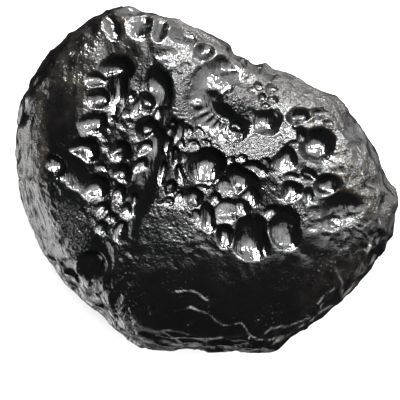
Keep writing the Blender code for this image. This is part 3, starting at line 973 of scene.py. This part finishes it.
@dataclass(frozen=True)
class BlackGlass:
    """Black natural glass, polished in the pits, and finely dented and in places tinted a cloudy brown on the
    skin.
    """

    colour: tuple[float, float, float, float] = (0.0018, 0.0018, 0.002, 1.0)
    brown_tint: tuple[float, float, float, float] = (0.036, 0.03, 0.023, 1.0)
    skin_roughness: tuple[float, float] = (0.14, 0.26)
    pit_roughness: tuple[float, float] = (0.08, 0.14)
    satin_roughness: float = 0.32
    haze: Mottle = Mottle(3.0, 5.0)
    clouds: Mottle = Mottle(1.6, 6.0)
    # The pale grit colour, used both for grit in drifts and for the painted highlight along the seams'
    # crests, and that highlight's strength
    grit_and_crest_highlight: tuple[float, float, float, float] = (0.17, 0.165, 0.15, 1.0)
    crest_highlight: float = 0.9
    grains: Mottle = Mottle(0.34, 4.0, low=0.63, high=0.75)
    drifts: Mottle = Mottle(4.5, 2.0, low=0.5, high=0.66)
    dents: Mottle = Mottle(0.3, 2.0, low=0.25, high=0.75)
    strokes: Mottle = Mottle(0.5, 2.0, (1.0, 5.0, 3.0), low=0.25, high=0.75)
    dent_depth: float = 0.05
    crinkled_dents: float = 3.5
    polished_dents: float = -0.8
    stroke_start: float = 0.7
    stroke_share: float = 4.0
    refraction: float = 1.5

    def roughness(self, nodes: Nodes) -> bpy.types.NodeSocket:
        """Add the roughness, which differs from the skin to the pits and the crinkled patches.

        Args:
            nodes: The glass's nodes.

        Returns:
            The socket that gives it.
        """
        skin, pit = (self.haze.add(nodes, ends) for ends in (self.skin_roughness, self.pit_roughness))
        polished = nodes.mix(nodes.mark(POLISH), skin, pit)
        return nodes.mix(nodes.mark(SATIN), polished, self.satin_roughness)

    def tint(self, nodes: Nodes) -> bpy.types.NodeSocket:
        """Add the colour: black, with a cloudy brown tint in patches of skin, pale grit in drifts, and a pale
        painted highlight along the crests of the seams.

        Args:
            nodes: The glass's nodes.

        Returns:
            The socket that gives it.
        """
        browned = nodes.math("MULTIPLY", nodes.mark(BROWN_TINT), self.clouds.add(nodes))
        skin = nodes.math("MULTIPLY_ADD", nodes.mark(POLISH), -1.0, 1.0)
        drifted = nodes.math("MULTIPLY", self.drifts.add(nodes), skin)
        # Painted highlight along the seams' crests, in the pale grit colour
        worn = nodes.math("MULTIPLY", nodes.mark(CREST_HIGHLIGHT), self.crest_highlight)
        grit_and_highlight_share = nodes.math("MULTIPLY_ADD", self.grains.add(nodes), drifted, worn)
        glass = nodes.mix(browned, self.colour, self.brown_tint, "RGBA")
        return nodes.mix(grit_and_highlight_share, glass, self.grit_and_crest_highlight, "RGBA")

    def bump(self, nodes: Nodes) -> bpy.types.NodeSocket:
        """Add the finest relief: dents on the skin, deeper where it is crinkled, and strokes in the pits.

        Args:
            nodes: The glass's nodes.

        Returns:
            The socket that gives the bent normal.
        """
        polish = nodes.mark(POLISH)
        skin = nodes.math("MULTIPLY_ADD", polish, self.polished_dents, 1.0)
        share = nodes.math("MULTIPLY_ADD", nodes.mark(CRINKLED), self.crinkled_dents, 1.0)
        dents = nodes.math("MULTIPLY", self.dents.add(nodes), nodes.math("MULTIPLY", share, skin))
        start = -self.stroke_share * self.stroke_start
        stroke = nodes.math("MULTIPLY_ADD", polish, self.stroke_share, start)
        stroke = nodes.math("MAXIMUM", stroke, 0.0)
        height = nodes.math("MULTIPLY_ADD", self.strokes.add(nodes), stroke, dents)
        inputs = {"Height": height, "Strength": 1.0, "Distance": self.dent_depth * MM}
        return nodes.add("ShaderNodeBump", "Normal", inputs)

    def material(self) -> bpy.types.Material:
        """Build the glass.

        Returns:
            The finished material.
        """
        glass = bpy.data.materials.new("tektite_glass")
        glass.use_nodes = True
        nodes = Nodes(glass.node_tree)
        surface = nodes.tree.nodes["Principled BSDF"]
        surface.inputs["IOR"].default_value = self.refraction
        nodes.feed(surface.inputs["Base Color"], self.tint(nodes))
        nodes.feed(surface.inputs["Roughness"], self.roughness(nodes))
        nodes.feed(surface.inputs["Normal"], self.bump(nodes))
        return glass


@dataclass
class Tektite:
    """The whole lump: its form, its relief and its glass."""

    form: LumpForm = field(default_factory=LumpForm)
    relief: Relief = field(default_factory=Relief)
    finish: BlackGlass = field(default_factory=BlackGlass)
    subdivisions: int = 7
    fine_reach: float = 0.93
    rim_merge: float = 0.03
    plane_slack: float = 0.003
    pit_gloss: float = 0.6

    def ball(self) -> bmesh.types.BMesh:
        """Make the ball that the lump is shaped from, finer where the face needs it.

        Returns:
            A ball of radius 1.
        """
        shell = bmesh.new()
        bmesh.ops.create_icosphere(shell, subdivisions=self.subdivisions, radius=1.0)
        directions = np.array([vertex.co for vertex in shell.verts])
        _, on_face, out, _ = self.form.place(directions)
        fine = on_face & (out < self.fine_reach)
        edges = [edge for edge in shell.edges if fine[edge.verts[0].index] and fine[edge.verts[1].index]]
        bmesh.ops.subdivide_edges(shell, edges=edges, cuts=1, use_grid_fill=True)
        bmesh.ops.triangulate(shell, faces=shell.faces)
        for vertex in shell.verts:
            vertex.co.normalize()
        return shell

    def marks(self, plan: np.ndarray, on_face: np.ndarray, polish: np.ndarray) -> dict[str, np.ndarray]:
        """Work out the values that the skin carries for the glass.

        Args:
            plan: Points of the skin, seen from above.
            on_face: Mask of the face.
            polish: How polished each point is.

        Returns:
            Each value's name, with one number for each point.
        """
        creases = [(crinkle, crinkle.share_at(plan)) for crinkle in CRINKLES]
        highest = max(crinkle.height for crinkle in CRINKLES)
        crinkled = np.max([share * crinkle.height for crinkle, share in creases], axis=0) / highest
        satin = np.max([share * crinkle.satin for crinkle, share in creases], axis=0)
        browned_share = np.max([patch.share_at(plan) for patch in BROWN_TINT_PATCHES], axis=0)
        return {
            POLISH: polish,
            CRINKLED: crinkled * on_face,
            BROWN_TINT: browned_share * (1.0 - polish),
            SATIN: satin * on_face * (1.0 - self.pit_gloss * polish),
            CREST_HIGHLIGHT: self.relief.crest_highlight_share(plan) * on_face,
        }

    def shell(self) -> bmesh.types.BMesh:
        """Shape the ball into the pitted lump.

        Returns:
            The closed skin, in metres.
        """
        shell = self.ball()
        directions = np.array([vertex.co for vertex in shell.verts])
        points, on_face, out, up = self.form.place(directions)
        for vertex, point in zip(shell.verts, points):
            vertex.co = point
        shell.normal_update()
        normals = np.array([vertex.normal for vertex in shell.verts])
        lift, polish = self.relief.lift(points, on_face, out, up)
        points = points + normals * lift[:, None]
        marks = self.marks(points[:, :2], on_face, polish)
        layers = [shell.verts.layers.float.new(name) for name in marks]
        for vertex, point, *values in zip(shell.verts, points, *marks.values()):
            vertex.co = point * MM
            for layer, value in zip(layers, values):
                vertex[layer] = value
        return shell

    def cut_flat(self, shell: bmesh.types.BMesh) -> None:
        """Cut the skin off at the floor and close it with the flat that the lump lies on.

        Args:
            shell: The closed skin, which is changed.
        """
        cut = bmesh.ops.bisect_plane(
            shell,
            geom=shell.verts[:] + shell.edges[:] + shell.faces[:],
            dist=self.plane_slack * MM,
            plane_co=(0, 0, 0),
            plane_no=(0, 0, -1),
            clear_outer=True,
        )
        rim = [part for part in cut["geom_cut"] if isinstance(part, bmesh.types.BMVert)]
        bmesh.ops.remove_doubles(shell, verts=rim, dist=self.rim_merge * MM)
        open_edges = [edge for edge in shell.edges if edge.is_boundary]
        for face in shell.faces:
            face.smooth = True
        filled = bmesh.ops.triangle_fill(shell, edges=open_edges, use_beauty=True, normal=(0, 0, -1))
        for part in filled["geom"]:
            part.smooth = False
        bmesh.ops.recalc_face_normals(shell, faces=shell.faces)

    def build(self) -> bpy.types.Object:
        """Make the lump's mesh, dress it and put it in the place of the plain solid.

        Returns:
            The finished piece.
        """
        shell = self.shell()
        self.cut_flat(shell)
        mesh = bpy.data.meshes.new("tektite_skin")
        shell.to_mesh(mesh)
        shell.free()
        mesh.materials.append(self.finish.material())
        piece = bpy.data.objects.new("tektite_skin", mesh)
        bpy.context.scene.collection.objects.link(piece)
        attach(piece, "root")
        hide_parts("tektite")
        return piece


@dataclass(frozen=True)
class Softbox:
    """A flat soft light, aimed at the lump. Its azimuth is from +X, and its tilt from straight above."""

    name: str
    azimuth: float
    tilt: float
    distance: float
    width: float
    height: float
    watts: float
    for_floor: bool = False

    def build(self) -> bpy.types.Object:
        """Hang the light.

        Returns:
            The light's object.
        """
        lamp = bpy.data.lights.new(self.name, "AREA")
        lamp.shape = "RECTANGLE"
        lamp.size = self.width
        lamp.size_y = self.height
        lamp.energy = self.watts
        softbox = bpy.data.objects.new(self.name, lamp)
        azimuth, tilt = math.radians(self.azimuth), math.radians(self.tilt)
        level = math.sin(tilt)
        away = Vector((level * math.cos(azimuth), level * math.sin(azimuth), math.cos(tilt)))
        softbox.location = away * self.distance
        softbox.rotation_euler = away.to_track_quat("Z", "Y").to_euler()
        softbox.visible_camera = False
        softbox.visible_glossy = not self.for_floor
        softbox.visible_diffuse = self.for_floor
        bpy.context.scene.collection.objects.link(softbox)
        return softbox


@dataclass(frozen=True)
class Glow:
    """A soft glow of the surroundings, brightest one way and fading with the cosine of the angle to it."""

    way: tuple[float, float, float]
    faded: float
    full: float
    strength: float

    def add(self, nodes: Nodes, place: bpy.types.NodeSocket) -> bpy.types.NodeSocket:
        """Add the glow's nodes.

        Args:
            nodes: The world's nodes.
            place: The socket that gives the direction looked in.

        Returns:
            The socket that gives the glow's brightness.
        """
        way = Vector(self.way).normalized()
        towards = nodes.add("ShaderNodeVectorMath", "Value", {0: place, 1: way}, operation="DOT_PRODUCT")
        inputs = {"Value": towards, "From Min": self.faded, "From Max": self.full, "To Max": self.strength}
        return nodes.add("ShaderNodeMapRange", "Result", inputs, interpolation_type="SMOOTHSTEP")


@dataclass
class Studio:
    """The pale floor, the lights, the surroundings and the camera.

    The cloud cover is the contrast and the level of the clouds that break up the glows.
    """

    floor_half: float = 3.0
    floor_white: float = 0.82
    floor_roughness: float = 0.9
    darkness: float = 0.05
    glows: tuple[Glow, ...] = (
        Glow((0.55, 0.6, 0.6), 0.55, 1.0, 6.0),
        Glow((0.1, 0.5, 0.86), 0.87, 0.99, 4.0),
        Glow((-0.86, -0.31, -0.41), 0.83, 0.95, 4.6),
        Glow((-0.2, -0.5, -0.84), 0.95, 0.99, 0.9),
        Glow((0.3, 0.85, -0.35), 0.8, 0.97, 1.8),
        Glow((0.7, 0.6, -0.3), 0.84, 0.97, 1.5),
        Glow((0.88, 0.1, -0.45), 0.86, 0.98, 1.0),
    )
    cloud_scale: float = 8.0
    cloud_cover: tuple[float, float] = (4.5, -1.25)
    camera_distance: float = 1.6
    camera_clip: tuple[float, float] = (0.1, 20.0)
    sensor: float = 36.0
    waist_height: float = 0.0125
    softboxes: tuple[Softbox, ...] = (
        Softbox("window", 98.0, 60.0, 0.7, 0.14, 0.27, 19.0),
        Softbox("right window", 50.0, 60.0, 0.7, 0.10, 0.20, 8.0),
        Softbox("floor light", 0.0, 0.0, 1.4, 3.0, 3.0, 90.0, for_floor=True),
    )

    def floor(self) -> bpy.types.Object:
        """Lay the floor.

        Returns:
            The floor's object, marked as stage.
        """
        sheet = bmesh.new()
        bmesh.ops.create_grid(sheet, x_segments=1, y_segments=1, size=self.floor_half)
        mesh = bpy.data.meshes.new("floor")
        sheet.to_mesh(mesh)
        sheet.free()
        paper = bpy.data.materials.new("pale paper")
        paper.use_nodes = True
        surface = paper.node_tree.nodes["Principled BSDF"]
        surface.inputs["Base Color"].default_value = (*[self.floor_white] * 3, 1.0)
        surface.inputs["Roughness"].default_value = self.floor_roughness
        surface.inputs["Specular IOR Level"].default_value = 0.0
        mesh.materials.append(paper)
        floor = bpy.data.objects.new("floor", mesh)
        bpy.context.scene.collection.objects.link(floor)
        floor.visible_glossy = False
        return floor

    def surroundings(self) -> bpy.types.World:
        """Make dark surroundings with soft glows in them, broken up by clouds.

        Returns:
            The world.
        """
        world = bpy.data.worlds.new("studio")
        world.use_nodes = True
        nodes = Nodes(world.node_tree)
        place = nodes.add("ShaderNodeTexCoord", "Generated", {})
        total = self.darkness
        for glow in self.glows:
            total = nodes.math("ADD", glow.add(nodes, place), total)
        clouds = nodes.add("ShaderNodeTexNoise", "Fac", {"Vector": place, "Scale": self.cloud_scale})
        cover = nodes.math("MAXIMUM", nodes.math("MULTIPLY_ADD", clouds, *self.cloud_cover), 0.0)
        nodes.feed(nodes.tree.nodes["Background"].inputs["Color"], nodes.math("MULTIPLY", total, cover))
        bpy.context.scene.world = world
        return world

    def camera(self) -> bpy.types.Object:
        """Stand the camera straight above, as the photograph was taken.

        Returns:
            The camera's object.
        """
        lens = bpy.data.cameras.new("camera")
        lens.sensor_width = self.sensor
        lens.lens = self.sensor * self.camera_distance / (FRAME_PIXELS * PIXEL_SPAN * MM)
        lens.clip_start, lens.clip_end = self.camera_clip
        camera = bpy.data.objects.new("camera", lens)
        east = (FRAME_PIXELS / 2 - LUMP_MIDDLE_PIXEL[0]) * PIXEL_SPAN * MM
        north = (LUMP_MIDDLE_PIXEL[1] - FRAME_PIXELS / 2) * PIXEL_SPAN * MM
        camera.location = (east, north, self.waist_height + self.camera_distance)
        bpy.context.scene.collection.objects.link(camera)
        bpy.context.scene.camera = camera
        return camera

    def build(self) -> None:
        """Set up the floor, the lights, the surroundings and the camera."""
        self.floor()
        self.surroundings()
        for softbox in self.softboxes:
            softbox.build()
        self.camera()
        bpy.context.scene.view_settings.view_transform = "Standard"


def main() -> None:
    """Build the lump and the studio, and report each piece."""
    logging.basicConfig(level=logging.INFO, format="%(name)s: %(message)s")
    piece = Tektite().build()
    LOG.info("%s: %d vertices, %d faces", piece.name, len(piece.data.vertices), len(piece.data.polygons))
    Studio().build()


if __name__ == "__main__":
    main()
